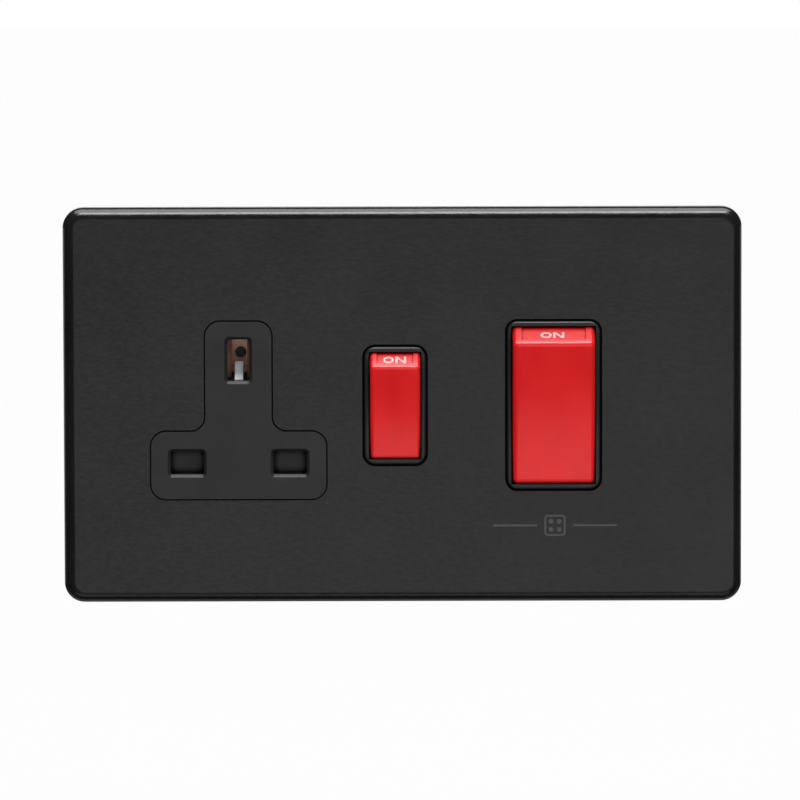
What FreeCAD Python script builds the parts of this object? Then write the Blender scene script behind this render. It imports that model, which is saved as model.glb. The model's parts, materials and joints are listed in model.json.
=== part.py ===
"""Cooker control unit: a screwless two-gang plate with a large cooker switch and a switched socket.

Frame: the origin is the middle of the plate on the wall plane. +X is to the right, +Z is up and
the front faces -Y, so depths in front of the wall are negative Y. All sizes are in millimetres.
"""
import FreeCAD, Part
import math
import os
import re

import Sketcher

SIZES = {
    "cover plate": {
        "plate_width": 146.5,
        "plate_height": 85.5,
        "plate_proud": 4.8,
        "plate_corner": 4.4,
        "plate_edge_round": 2.4,
        "sheet_thick": 1.0,
        "pad_window_gap": 0.3,
        "bezel_window_gap": 0.5,
        "lip_width": 12.0,
        "lip_thick": 0.6,
        "lip_depth": 0.3,
        "lip_spacing": 44.0,
        "notch_width": 7.0,
        "notch_depth": 0.8,
    },
    "clearances": {
        "seat_gap": 0.1,
        "cover_gap": 0.4,
        "room_gap": 0.3,
        "running_gap": 0.06,
        "thread_gap": 0.05,
        "driver_gap": 0.2,
        "swing_gap": 1.5,
        "cable_gap": 0.5,
    },
    "front moulding": {
        "panel_thick": 2.5,
        "panel_edge_bevel": 1.0,
        "skirt_thick": 1.5,
        "bezel_proud": 0.6,
        "bezel_edge_round": 0.5,
        "fixing_centres": 120.6,
        "fixing_boss_radius": 4.4,
        "boss_radius": 3.0,
        "boss_depth": 4.0,
    },
    "socket face": {
        "socket_x": -35.4,
        "pin_centres": 22.23,
        "pin_row": -12.4,
        "pin_rise": 22.23,
        "pad_proud": 0.3,
        "pad_thick": 4.5,
        "pad_width": 37.8,
        "pad_height": 38.4,
        "pad_drop": 7.8,
        "pad_bar_height": 14.6,
        "pad_stem_width": 14.3,
        "pad_round": 3.2,
        "pin_slot_width": 7.2,
        "pin_slot_height": 5.0,
        "earth_slot_width": 4.8,
        "earth_slot_height": 9.0,
        "slot_corner": 0.5,
        "slot_bevel": 0.6,
    },
    "cooker switch": {
        "cooker_x": 32.6,
        "cooker_pivot": 1.3,
        "cooker_end_radius": 18.1,
        "cooker_crest_angle": 31.7,
        "cooker_half_throw": 9.0,
        "cooker_rocker_width": 17.8,
        "cooker_dish": 0.7,
        "cooker_panel_width": 13.8,
        "cooker_panel_depth": 0.2,
        "cooker_panel_margin": 4.0,
        "cooker_panel_foot": 8.0,
        "cooker_rocker_wall": 1.5,
        "cooker_rocker_round": 1.1,
        "cooker_trunnion_radius": 1.75,
        "cooker_trunnion_length": 1.7,
        "cooker_side_gap": 0.25,
        "cooker_end_gap": 0.3,
        "cooker_bezel_width": 20.0,
        "cooker_bezel_height": 36.3,
        "cooker_bezel_corner": 2.2,
        "cooker_well_wall": 2.0,
        "cooker_well_depth": 5.0,
        "cooker_pole_spacing": 11.0,
        "cooker_plunger_radius": 2.2,
        "cooker_tip_reach": 12.6,
        "cooker_barrel_wall": 0.8,
        "cooker_barrel_reach": 8.6,
        "cooker_arm_width": 5.0,
        "cooker_arm_thick": 1.6,
        "cooker_arm_front": 1.9,
        "cooker_arm_reach": 11.0,
        "cooker_arm_swing": 7.0,
        "cooker_hub_half": 2.2,
        "cooker_bead_radius": 1.0,
        "cooker_bead_stand": 1.6,
        "cooker_tip_place": 9.4,
        "cooker_tip_radius": 1.5,
        "cooker_tip_thick": 1.0,
        "cooker_strip_thick": 1.2,
    },
    "socket switch": {
        "socket_switch_x": -1.6,
        "socket_pivot": 0.8,
        "socket_end_radius": 12.9,
        "socket_crest_angle": 38.7,
        "socket_half_throw": 10.0,
        "socket_rocker_width": 10.9,
        "socket_dish": 0.4,
        "socket_panel_width": 7.9,
        "socket_panel_depth": 0.2,
        "socket_panel_margin": 5.5,
        "socket_panel_foot": 10.0,
        "socket_rocker_wall": 1.3,
        "socket_rocker_round": 0.9,
        "socket_trunnion_radius": 1.4,
        "socket_trunnion_length": 1.3,
        "socket_side_gap": 0.25,
        "socket_end_gap": 0.3,
        "socket_bezel_width": 13.2,
        "socket_bezel_height": 25.4,
        "socket_bezel_corner": 2.3,
        "socket_well_wall": 1.5,
        "socket_well_depth": 4.2,
        "socket_plunger_radius": 1.6,
        "socket_tip_reach": 9.8,
        "socket_barrel_wall": 0.8,
        "socket_barrel_reach": 6.8,
        "socket_arm_width": 4.0,
        "socket_arm_thick": 1.2,
        "socket_arm_front": 1.5,
        "socket_arm_reach": 8.0,
        "socket_arm_swing": 7.5,
        "socket_hub_half": 1.8,
        "socket_bead_radius": 0.8,
        "socket_bead_stand": 1.2,
        "socket_tip_place": 6.8,
        "socket_tip_radius": 1.2,
        "socket_tip_thick": 0.8,
        "socket_strip_thick": 1.0,
    },
    "cooker base": {
        "cooker_base_width": 38.0,
        "cooker_base_height": 66.0,
        "cooker_base_rear": 26.0,
        "cooker_screw_x": 14.6,
        "cooker_screw_z": 27.0,
        "partition_half": 0.6,
        "terminal_width": 9.0,
        "terminal_depth": 10.0,
        "terminal_height": 11.0,
        "terminal_place": 20.0,
        "terminal_front": 14.0,
        "cable_radius": 2.8,
        "cable_depth": 9.5,
        "cable_y": 18.2,
        "terminal_screw_radius": 2.0,
        "terminal_screw_spacing": 5.2,
        "terminal_head_radius": 2.4,
        "terminal_head_length": 1.6,
        "web_front": 4.1,
        "web_rear": 7.0,
        "base_corner": 2.0,
    },
    "socket base": {
        "socket_base_reach": 20.4,
        "socket_base_right": 9.5,
        "socket_base_height": 60.0,
        "socket_base_rear": 22.0,
        "socket_screw_left": -51.9,
        "socket_screw_right": 5.6,
        "socket_screw_z": 26.3,
        "shutter_floor": 1.7,
        "contact_mouth": 4.7,
        "contact_throat": 6.9,
        "contact_thick": 0.8,
        "contact_flare": 2.6,
        "contact_grip": 1.7,
        "contact_width": 6.0,
        "earth_web": 18.2,
        "earth_web_hole": 1.25,
        "earth_blade_height": 9.0,
        "earth_strip_width": 5.0,
        "earth_block_width": 10.0,
        "earth_block_height": 8.0,
        "earth_block_front": 10.0,
        "earth_block_rear": 20.0,
        "earth_block_wall": 1.5,
        "strip_margin": 0.6,
        "earth_cable_radius": 2.5,
        "earth_screw_radius": 1.75,
    },
    "links": {
        "link_height": 3.0,
        "live_link_z": -14.3,
        "neutral_link_z": -18.1,
        "link_step_length": 2.0,
    },
    "shutter": {
        "shutter_front": -0.4,
        "shutter_rear": 1.6,
        "shutter_bar_width": 31.2,
        "shutter_bar_height": 6.6,
        "shutter_stem_width": 5.2,
        "shutter_stem_top": 3.6,
        "shutter_travel": 5.8,
        "shutter_bevel": 1.0,
        "cam_width": 1.74,
        "cam_depth": 4.2,
        "cam_top": 8.9,
        "cam_foot": 4.4,
        "cam_lip": 0.8,
        "cam_crest": 1.0,
        "cam_thick": 1.4,
    },
    "screws": {
        "fixing_screw_radius": 1.75,
        "fixing_neck_radius": 1.55,
        "fixing_head_radius": 3.4,
        "fixing_head_front": -3.0,
        "fixing_head_rise": 0.5,
        "fixing_screw_rear": 22.0,
        "fixing_gap": 0.2,
        "base_screw_radius": 1.5,
        "bead_neck_share": 0.6,
        "base_screw_head_radius": 2.75,
        "base_screw_head_length": 2.0,
        "screw_slot_width": 0.8,
        "screw_slot_depth": 0.7,
    },
}

doc = FreeCAD.newDocument("CookerControlUnit")
sheet = doc.addObject("Spreadsheet::Sheet", "Sizes")
row = 0
for section, values in SIZES.items():
    row += 1
    sheet.set(f"A{row}", section)
    for alias, number in values.items():
        row += 1
        sheet.set(f"A{row}", alias)
        sheet.set(f"B{row}", str(number))
        sheet.setAlias(f"B{row}", alias)
doc.recompute()

# Derived places, as expressions on the sheet's names.
COVER_INSIDE = "(-(plate_proud - sheet_thick))"
PANEL_FRONT = "(-(plate_proud - sheet_thick - seat_gap))"
PANEL_REAR = f"({PANEL_FRONT} + panel_thick)"
PAD_FRONT = "(-(plate_proud + pad_proud))"
PAD_REAR = f"({PAD_FRONT} + pad_thick)"
BEZEL_FRONT = "(-(plate_proud + bezel_proud))"
BASE_FRONT = f"({PANEL_REAR} + seat_gap)"
LIVE_X = "(socket_x + pin_centres / 2)"
NEUTRAL_X = "(socket_x - pin_centres / 2)"
EARTH_Z = "(pin_row + pin_rise)"
MOULDING_WIDTH = "(plate_width - 2 * (sheet_thick + cover_gap))"
MOULDING_HEIGHT = "(plate_height - 2 * (sheet_thick + cover_gap))"
MOULDING_CORNER = "(plate_corner - sheet_thick - cover_gap)"
ROCKERS = ("cooker", "socket")
SWITCH_X = {"cooker": "cooker_x", "socket": "socket_switch_x"}
SOCKET_SCREWS = ("socket_screw_left", "socket_screw_right")
SIDES = (-1, 1)
NEAR = 0.01
SMALLEST_CHANGE = 1e-6


def bound(text):
    """The expression with each size name pointed at the sheet."""
    return re.sub(r"\b[a-z]+(?:_[a-z]+)+\b", lambda found: "Sizes." + found.group(0), text)


def value(text):
    """The number that an expression gives now."""
    result = sheet.evalExpression(bound(text))
    return float(getattr(result, "Value", result))


def arm_axis(rocker):
    """Depth of the contact arm's hinge line behind the plunger's tip."""
    return f"({rocker}_pivot + {rocker}_tip_reach + seat_gap + {rocker}_arm_front)"


def arm_back(rocker):
    return f"({rocker}_arm_front - {rocker}_arm_thick)"


def fulcrum_front(rocker):
    return f"({arm_axis(rocker)} + {rocker}_bead_stand)"


def fixed_tip_front(rocker):
    """Where the moving tip's far edge comes to when the arm is swung to its closed side."""
    lever = f"({rocker}_tip_thick - {arm_back(rocker)}) * cos({rocker}_arm_swing)"
    swing = f"({rocker}_tip_place + {rocker}_tip_radius) * sin({rocker}_arm_swing)"
    return f"({arm_axis(rocker)} + {lever} + {swing} + seat_gap)"


def fixed_strip_front(rocker):
    return f"({fixed_tip_front(rocker)} + {rocker}_tip_thick)"


def fixed_strip_rear(rocker):
    return f"({fixed_strip_front(rocker)} + {rocker}_strip_thick)"


def opening_width(rocker):
    return f"({rocker}_rocker_width + 2 * {rocker}_side_gap)"


def well_width(rocker):
    return f"({opening_width(rocker)} + 2 * {rocker}_well_wall)"


def well_height(rocker):
    return f"(2 * ({rocker}_end_radius + {rocker}_end_gap + {rocker}_well_wall))"


def crest_depth(rocker):
    return f"({rocker}_end_radius * sin({rocker}_crest_angle))"


def crest_height(rocker):
    return f"({rocker}_end_radius * cos({rocker}_crest_angle))"


def loop(points, arcs=None):
    """A closed outline; arcs maps a side's number to its radius and whether it turns left."""
    return ("loop", points, arcs or {})


def circle(across, up, radius):
    return ("circle", across, up, radius)


def box(left, right, low, high):
    return loop([(left, low), (right, low), (right, high), (left, high)])


def beside(middle, half):
    """The two places that lie a half width to either side of a middle."""
    return (f"({middle}) - ({half})", f"({middle}) + ({half})")


def toward(corner, other, radius):
    """The point one radius along the side that leads from a corner to another."""
    step_x = value(other[0]) - value(corner[0])
    step_y = value(other[1]) - value(corner[1])
    if abs(step_x) > abs(step_y):
        sign = "+" if step_x > 0 else "-"
        return (f"{corner[0]} {sign} ({radius})", corner[1])
    sign = "+" if step_y > 0 else "-"
    return (corner[0], f"{corner[1]} {sign} ({radius})")


def turns_left(before, corner, after):
    first = (value(corner[0]) - value(before[0]), value(corner[1]) - value(before[1]))
    second = (value(after[0]) - value(corner[0]), value(after[1]) - value(corner[1]))
    return first[0] * second[1] - first[1] * second[0] > 0


def rounded(corners, radius, inner_radius=None):
    """An outline of square corners, each with its arc; the inner corners may have another radius."""
    points = []
    arcs = {}
    count = len(corners)
    for place, corner in enumerate(corners):
        before = corners[place - 1]
        after = corners[(place + 1) % count]
        left = turns_left(before, corner, after)
        size = radius if left or inner_radius is None else inner_radius
        arcs[len(points)] = (size, left)
        points.append(toward(corner, before, size))
        points.append(toward(corner, after, size))
    return loop(points, arcs)


def rounded_box(width, height, radius, across="0", up="0"):
    left = f"{across} - ({width}) / 2"
    right = f"{across} + ({width}) / 2"
    low = f"{up} - ({height}) / 2"
    high = f"{up} + ({height}) / 2"
    return rounded([(left, low), (right, low), (right, high), (left, high)], radius)


def arc_between(start, end, radius, left):
    """The shorter arc between two points, drawn the way round that a sketch wants."""
    middle = (start + end) * 0.5
    chord = end - start
    rise = math.sqrt(max(radius * radius - chord.Length * chord.Length / 4, 0))
    normal = FreeCAD.Vector(-chord.y, chord.x, 0).normalize()
    centre = middle + normal * (rise if left else -rise)
    first, last = (start, end) if left else (end, start)
    begin = math.atan2(first.y - centre.y, first.x - centre.x)
    finish = math.atan2(last.y - centre.y, last.x - centre.x)
    whole = Part.Circle(centre, FreeCAD.Vector(0, 0, 1), radius)
    return Part.ArcOfCircle(whole, begin, finish)


def tie(kind, target, text):
    """One dimension of a sketch, with the expression that it is bound to."""
    return (Sketcher.Constraint(kind, *target, value(text)), bound(text))


def draw_loop(sketch, points, arcs):
    places = [FreeCAD.Vector(value(across), value(up), 0) for across, up in points]
    count = len(points)
    sides = []
    for number in range(count):
        start, end = places[number], places[(number + 1) % count]
        if number in arcs:
            radius, left = arcs[number]
            shape = arc_between(start, end, value(radius), left)
            heads = (1, 2) if left else (2, 1)
        else:
            shape = Part.LineSegment(start, end)
            heads = (1, 2)
        sides.append((sketch.addGeometry(shape, False), *heads))
    rules = []
    for number, (side, _, tail) in enumerate(sides):
        following, head, _ = sides[(number + 1) % count]
        rules.append((Sketcher.Constraint("Coincident", side, tail, following, head), None))
    for (side, head, _), (across, up) in zip(sides, points):
        rules.append(tie("DistanceX", (-1, 1, side, head), across))
        rules.append(tie("DistanceY", (-1, 1, side, head), up))
    for number, (radius, _) in arcs.items():
        rules.append(tie("Radius", (sides[number][0],), radius))
    return rules


def draw_circle(sketch, across, up, radius):
    centre = FreeCAD.Vector(value(across), value(up), 0)
    side = sketch.addGeometry(Part.Circle(centre, FreeCAD.Vector(0, 0, 1), value(radius)), False)
    return [
        tie("DistanceX", (-1, 1, side, 3), across),
        tie("DistanceY", (-1, 1, side, 3), up),
        tie("Radius", (side,), radius),
    ]


class Piece:
    """One sub-part: a body with its own placement, built up feature by feature."""

    def __init__(self, name, x="0", y="0", z="0", turn=None):
        self.name = name
        self.body = doc.addObject("PartDesign::Body", name)
        self.body.Label = name
        self.body.AllowCompound = True
        lean = FreeCAD.Rotation(FreeCAD.Vector(1, 0, 0), value(turn) if turn else 0)
        self.body.Placement = FreeCAD.Placement(FreeCAD.Vector(value(x), value(y), value(z)), lean)
        for axis, text in (("x", x), ("y", y), ("z", z)):
            self.body.setExpression(f"Placement.Base.{axis}", bound(text))
        if turn:
            self.body.setExpression("Placement.Rotation.Angle", bound(turn))

    def sketch(self, label, plane, place, shapes, origin="0"):
        """A sketch on an origin plane, moved to its place along the plane's axis."""
        drawing = self.body.newObject("Sketcher::SketchObject", f"{self.name}_{label}_sketch")
        support = [one for one in self.body.Origin.OriginFeatures if one.Role == plane + "_Plane"][0]
        drawing.AttachmentSupport = [(support, "")]
        drawing.MapMode = "FlatFace"
        along = f"-({place})" if plane == "XZ" else place
        drawing.setExpression("AttachmentOffset.Base.z", bound(along))
        drawing.setExpression("AttachmentOffset.Base.x", bound(origin))
        rules = []
        for kind, *values in shapes:
            rules += draw_circle(drawing, *values) if kind == "circle" else draw_loop(drawing, *values)
        numbers = drawing.addConstraint([rule for rule, _ in rules])
        for number, (_, text) in zip(numbers, rules):
            if text:
                drawing.setExpression(f"Constraints[{number}]", text)
        return drawing

    def add(self, label, plane, low, high, *shapes):
        """Material from the low to the high place along the axis across the plane."""
        start = high if plane == "XZ" else low
        feature = self.body.newObject("PartDesign::Pad", f"{self.name}_{label}")
        feature.Profile = self.sketch(label, plane, start, shapes)
        feature.setExpression("Length", bound(f"({high}) - ({low})"))
        return feature

    def cut(self, label, plane, low, high, *shapes):
        """Takes material away from the low to the high place."""
        start = low if plane == "XZ" else high
        feature = self.body.newObject("PartDesign::Pocket", f"{self.name}_{label}")
        feature.Profile = self.sketch(label, plane, start, shapes)
        feature.setExpression("Length", bound(f"({high}) - ({low})"))
        return feature

    def turned(self, label, shapes, remove=False, origin="0", place="0"):
        """A profile in the XY plane turned about its own upright axis."""
        kind = "PartDesign::Groove" if remove else "PartDesign::Revolution"
        drawing = self.sketch(label, "XY", place, shapes, origin)
        feature = self.body.newObject(kind, f"{self.name}_{label}")
        feature.Profile = drawing
        feature.ReferenceAxis = (drawing, ["V_Axis"])
        feature.Angle = 360
        return feature

    def soften(self, label, radius, wanted, kind="Fillet"):
        """A fillet or chamfer on the edges of the last feature that a rule picks."""
        doc.recompute()
        base = self.body.Tip
        names = [f"Edge{n}" for n, edge in enumerate(base.Shape.Edges, 1) if wanted(edge)]
        feature = self.body.newObject(f"PartDesign::{kind}", f"{self.name}_{label}")
        feature.Base = (base, names)
        feature.setExpression("Radius" if kind == "Fillet" else "Size", bound(radius))
        return feature


def lies_at(edge, axis, place):
    """Whether an edge lies whole in one plane across an axis."""
    extent = edge.BoundBox
    wanted = value(place)
    return all(abs(getattr(extent, axis + end) - wanted) < NEAR for end in ("Min", "Max"))


def pad_outline(grow):
    """The T of the socket face, grown outwards on all sides."""
    low = f"(pin_row - pad_drop - ({grow}))"
    shoulder = f"(pin_row - pad_drop + pad_bar_height + ({grow}))"
    top = f"(pin_row - pad_drop + pad_height + ({grow}))"
    half_bar = f"(pad_width / 2 + ({grow}))"
    half_stem = f"(pad_stem_width / 2 + ({grow}))"
    corners = [
        (f"socket_x - {half_bar}", low),
        (f"socket_x + {half_bar}", low),
        (f"socket_x + {half_bar}", shoulder),
        (f"socket_x + {half_stem}", shoulder),
        (f"socket_x + {half_stem}", top),
        (f"socket_x - {half_stem}", top),
        (f"socket_x - {half_stem}", shoulder),
        (f"socket_x - {half_bar}", shoulder),
    ]
    return rounded(corners, f"pad_round + ({grow})", f"pad_round - ({grow})")


def bezel_outline(rocker, grow):
    width = f"{rocker}_bezel_width + 2 * ({grow})"
    height = f"{rocker}_bezel_height + 2 * ({grow})"
    return rounded_box(width, height, f"{rocker}_bezel_corner + ({grow})", SWITCH_X[rocker])


def boss_places():
    """Where the bases are screwed to the front moulding."""
    places = []
    for side in SIDES:
        for end in SIDES:
            places.append((f"cooker_x + {side} * cooker_screw_x", f"{end} * cooker_screw_z"))
    for across in SOCKET_SCREWS:
        for end in SIDES:
            places.append((across, f"{end} * socket_screw_z"))
    return places


def cover_plate():
    """The pressed steel cover, with its windows, its retaining lips and the notch to lift it off."""
    piece = Piece("cover_plate")
    sheet_outline = rounded_box("plate_width", "plate_height", "plate_corner")
    piece.add("sheet", "XZ", "-plate_proud", "0", sheet_outline)
    piece.soften("edge", "plate_edge_round", lambda edge: lies_at(edge, "Y", "-plate_proud"))
    inside = rounded_box(
        "plate_width - 2 * sheet_thick",
        "plate_height - 2 * sheet_thick",
        "plate_corner - sheet_thick",
    )
    piece.cut("inside", "XZ", COVER_INSIDE, "0", inside)
    inside_round = "plate_edge_round - sheet_thick"
    piece.soften("inside_edge", inside_round, lambda edge: lies_at(edge, "Y", COVER_INSIDE))
    windows = [pad_outline("pad_window_gap")]
    windows += [bezel_outline(rocker, "bezel_window_gap") for rocker in ROCKERS]
    piece.cut("windows", "XZ", "-plate_proud", COVER_INSIDE, *windows)
    lip_foot = "(plate_height / 2 - sheet_thick / 2)"
    lip_tip = "(plate_height / 2 - sheet_thick - lip_depth)"
    lips = []
    for across in (-1, 0, 1):
        left = f"{across} * lip_spacing - lip_width / 2"
        right = f"{across} * lip_spacing + lip_width / 2"
        lips.append(box(left, right, lip_tip, lip_foot))
        lips.append(box(left, right, f"-{lip_foot}", f"-{lip_tip}"))
    piece.add("lips", "XZ", "-(seat_gap + 2 * lip_thick)", "-(seat_gap + lip_thick)", *lips)
    low = "-plate_height / 2"
    notch = box("-notch_width / 2", "notch_width / 2", low, f"{low} + sheet_thick")
    piece.cut("lift_notch", "XZ", "-notch_depth", "0", notch)
    return piece


def front_moulding():
    """The black moulding: panel, skirt, socket face, both bezels, the rockers' wells and the bosses."""
    piece = Piece("front_moulding")
    outline = rounded_box(MOULDING_WIDTH, MOULDING_HEIGHT, MOULDING_CORNER)
    piece.add("panel", "XZ", PANEL_FRONT, PANEL_REAR, outline)
    piece.soften("panel_edge", "panel_edge_bevel", lambda edge: lies_at(edge, "Y", PANEL_FRONT), "Chamfer")
    skirt_inside = rounded_box(
        f"{MOULDING_WIDTH} - 2 * skirt_thick",
        f"{MOULDING_HEIGHT} - 2 * skirt_thick",
        f"{MOULDING_CORNER} - skirt_thick",
    )
    piece.add("skirt", "XZ", PANEL_REAR, "0", outline, skirt_inside)
    piece.add("socket_face", "XZ", PAD_FRONT, PAD_REAR, pad_outline("0"))
    pin_slots = [(LIVE_X, "pin_row"), (NEUTRAL_X, "pin_row")]
    slots = [rounded_box("pin_slot_width", "pin_slot_height", "slot_corner", *place) for place in pin_slots]
    earth_slot = ("socket_x", EARTH_Z)
    slots.append(rounded_box("earth_slot_width", "earth_slot_height", "slot_corner", *earth_slot))
    piece.cut("slots", "XZ", PAD_FRONT, PAD_REAR, *slots)
    slot_middles = [(value(across), value(up)) for across, up in (*pin_slots, earth_slot)]
    slot_reach = value("earth_slot_height / 2 + slot_bevel")

    def rims_slot(edge):
        middle = edge.BoundBox.Center
        nearest = min(math.hypot(middle.x - across, middle.z - up) for across, up in slot_middles)
        return nearest < slot_reach and lies_at(edge, "Y", PAD_FRONT)

    piece.soften("slot_bevels", "slot_bevel", rims_slot, "Chamfer")
    bezels = [bezel_outline(rocker, "0") for rocker in ROCKERS]
    piece.add("bezels", "XZ", BEZEL_FRONT, PANEL_FRONT, *bezels)
    piece.soften("bezel_edges", "bezel_edge_round", lambda edge: lies_at(edge, "Y", BEZEL_FRONT))
    for rocker in ROCKERS:
        add_well(piece, rocker)
    fixings = [circle(f"{side} * fixing_centres / 2", "0", "fixing_boss_radius") for side in SIDES]
    piece.add("fixing_bosses", "XZ", PANEL_REAR, "0", *fixings)
    seat_width = "fixing_head_radius + fixing_gap"
    hole_width = "fixing_screw_radius + fixing_gap"
    cone_foot = "fixing_head_front + fixing_head_radius - fixing_screw_radius"
    seat = [
        ("0", f"{PANEL_FRONT} - seat_gap"),
        (seat_width, f"{PANEL_FRONT} - seat_gap"),
        (seat_width, "fixing_head_front"),
        (hole_width, cone_foot),
        (hole_width, "seat_gap"),
        ("0", "seat_gap"),
    ]
    for label, side in (("left", -1), ("right", 1)):
        piece.turned(f"{label}_fixing_seat", [loop(seat)], True, f"{side} * fixing_centres / 2")
    bosses = [circle(across, up, "boss_radius") for across, up in boss_places()]
    piece.add("bosses", "XZ", PANEL_REAR, "boss_depth", *bosses)
    pilots = [circle(across, up, "base_screw_radius + thread_gap") for across, up in boss_places()]
    piece.cut("pilot_holes", "XZ", f"{PANEL_REAR} - panel_thick / 2", "boss_depth", *pilots)
    return piece


def add_well(piece, rocker):
    """The well behind one bezel, the opening that its rocker swings in and the trunnions' holes."""
    sides = beside(SWITCH_X[rocker], f"{well_width(rocker)} / 2")
    half_height = f"{well_height(rocker)} / 2"
    well = box(*sides, f"-{half_height}", half_height)
    piece.add(f"{rocker}_well", "XZ", PANEL_REAR, f"{rocker}_well_depth", well)
    swept = circle(f"{rocker}_pivot", "0", f"{rocker}_end_radius + {rocker}_end_gap")
    opening_sides = beside(SWITCH_X[rocker], f"{opening_width(rocker)} / 2")
    piece.cut(f"{rocker}_opening", "YZ", *opening_sides, swept)
    hole = circle(f"{rocker}_pivot", "0", f"{rocker}_trunnion_radius + running_gap")
    piece.cut(f"{rocker}_pivot_holes", "YZ", *sides, hole)


def rocker_body(rocker):
    """One rocker: a dished face between two crests, ends swept about the pivot, hollow behind."""
    piece = Piece(f"{rocker}_rocker", SWITCH_X[rocker], f"{rocker}_pivot", "0", f"{rocker}_half_throw")
    radius = f"{rocker}_end_radius"
    skirt_depth = f"({rocker}_rocker_wall)"
    skirt_height = f"sqrt({radius} * {radius} - {skirt_depth} * {skirt_depth})"
    crest = (f"-{crest_depth(rocker)}", crest_height(rocker))
    low_crest = (crest[0], f"-{crest[1]}")
    dish = f"{rocker}_dish"
    dish_radius = f"({crest_height(rocker)} * {crest_height(rocker)} + {dish} * {dish}) / (2 * {dish})"
    outline = loop(
        [crest, (f"-{skirt_depth}", skirt_height), (f"-{skirt_depth}", f"-{skirt_height}"), low_crest],
        {0: (radius, False), 2: (radius, False), 3: (dish_radius, True)},
    )
    half_width = f"({rocker}_rocker_width / 2)"
    piece.add("shell", "YZ", f"-{half_width}", half_width, outline)

    def shows(edge):
        at_side = any(lies_at(edge, "X", f"{side} * {half_width}") for side in SIDES)
        return (at_side or lies_at(edge, "Y", crest[0])) and not lies_at(edge, "Y", f"-{skirt_depth}")

    piece.soften("rounds", f"{rocker}_rocker_round", shows)
    piece.cut("lettered_panel", "YZ", *beside("0", f"{rocker}_panel_width / 2"), end_panel(rocker))
    inner = f"({radius} - {rocker}_rocker_wall)"
    ceiling = f"({crest_depth(rocker)} - {dish} - {rocker}_rocker_wall)"
    ceiling_height = f"sqrt({inner} * {inner} - {ceiling} * {ceiling})"
    upper_half = [(f"-{ceiling}", ceiling_height), ("0", inner)]
    lower_half = [("0", f"-{inner}"), (f"-{ceiling}", f"-{ceiling_height}")]
    hollow = loop(upper_half + lower_half, {0: (inner, False), 2: (inner, False)})
    wall = f"({half_width} - {rocker}_rocker_wall)"
    piece.cut("hollow", "YZ", f"-{wall}", wall, hollow)
    lug = f"({rocker}_trunnion_radius + {rocker}_rocker_wall)"
    lug_root = f"-{skirt_depth} - seat_gap"
    lug_half = f"sqrt({lug} * {lug} - seat_gap * seat_gap)"
    lug_outline = loop(
        [
            (lug_root, f"-{lug_half}"),
            ("seat_gap", f"-{lug_half}"),
            ("seat_gap", lug_half),
            (lug_root, lug_half),
        ],
        {1: (lug, True)},
    )
    trunnion = circle("0", "0", f"{rocker}_trunnion_radius")
    reach = f"({half_width} + {rocker}_trunnion_length)"
    piece.add("left_lug", "YZ", f"-{half_width}", f"-{wall}", lug_outline)
    piece.add("right_lug", "YZ", wall, half_width, lug_outline)
    piece.add("left_trunnion", "YZ", f"-{reach}", f"-{wall}", trunnion)
    piece.add("right_trunnion", "YZ", wall, reach, trunnion)
    bore = f"{rocker}_plunger_radius + running_gap"
    barrels = [circle(pole, "0", f"{bore} + {rocker}_barrel_wall") for pole in poles(rocker)]
    bores = [circle(pole, "0", bore) for pole in poles(rocker)]
    roof = f"-{ceiling} - seat_gap"
    piece.add("barrels", "XZ", roof, f"{rocker}_barrel_reach", *barrels)
    piece.cut("bores", "XZ", f"-{ceiling} / 2", f"{rocker}_barrel_reach", *bores)
    return piece


def end_panel(rocker):
    """The shallow recess for the lettering, cut along the upper end's curve."""
    inner = f"({rocker}_end_radius - {rocker}_panel_depth)"
    outer = f"({rocker}_end_radius + {rocker}_panel_depth)"
    start = f"({rocker}_crest_angle - {rocker}_panel_margin)"
    foot = f"{rocker}_panel_foot"
    corners = [(outer, start), (outer, foot), (inner, foot), (inner, start)]
    points = [(f"-{radius} * sin({angle})", f"{radius} * cos({angle})") for radius, angle in corners]
    return loop(points, {0: (outer, False), 2: (inner, True)})


def poles(rocker):
    """Where the plungers stand across the rocker, from its middle."""
    if rocker == "cooker":
        return ["-cooker_pole_spacing / 2", "cooker_pole_spacing / 2"]
    return ["0"]


def plunger(rocker, name, pole):
    """The round-nosed plunger that rubs along the contact arm."""
    middle = f"{SWITCH_X[rocker]} + ({pole})"
    piece = Piece(name, middle, f"{rocker}_pivot", "0", f"{rocker}_half_throw")
    radius = f"{rocker}_plunger_radius"
    shoulder = f"({rocker}_tip_reach - {radius})"
    bore = f"({radius} - {rocker}_barrel_wall)"
    outline = loop(
        [
            ("0", f"{shoulder} - {radius}"),
            (bore, f"{shoulder} - {radius}"),
            (bore, "seat_gap"),
            (radius, "seat_gap"),
            (radius, shoulder),
            ("0", f"{rocker}_tip_reach"),
        ],
        {4: (radius, True)},
    )
    piece.turned("body", [outline])
    return piece


def contact_arm(rocker, name, pole):
    """The seesaw arm, with the half groove that rocks on the fulcrum's bead."""
    middle = f"{SWITCH_X[rocker]} + ({pole})"
    piece = Piece(name, middle, arm_axis(rocker), "0", f"-{rocker}_arm_swing")
    front = f"-{rocker}_arm_front"
    back = f"-{arm_back(rocker)}"
    reach = f"{rocker}_arm_reach"
    hub = f"{rocker}_hub_half"
    groove = f"({rocker}_bead_radius + running_gap)"
    lip = "-seat_gap"
    groove_half = f"sqrt({groove} * {groove} - seat_gap * seat_gap)"
    outline = loop(
        [
            (front, f"-{reach}"),
            (back, f"-{reach}"),
            (back, f"-{hub}"),
            (lip, f"-{hub}"),
            (lip, f"-{groove_half}"),
            (lip, groove_half),
            (lip, hub),
            (back, hub),
            (back, reach),
            (front, reach),
        ],
        {4: (groove, False)},
    )
    half = f"{rocker}_arm_width / 2"
    piece.add("arm", "YZ", f"-{half}", half, outline)
    return piece


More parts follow.
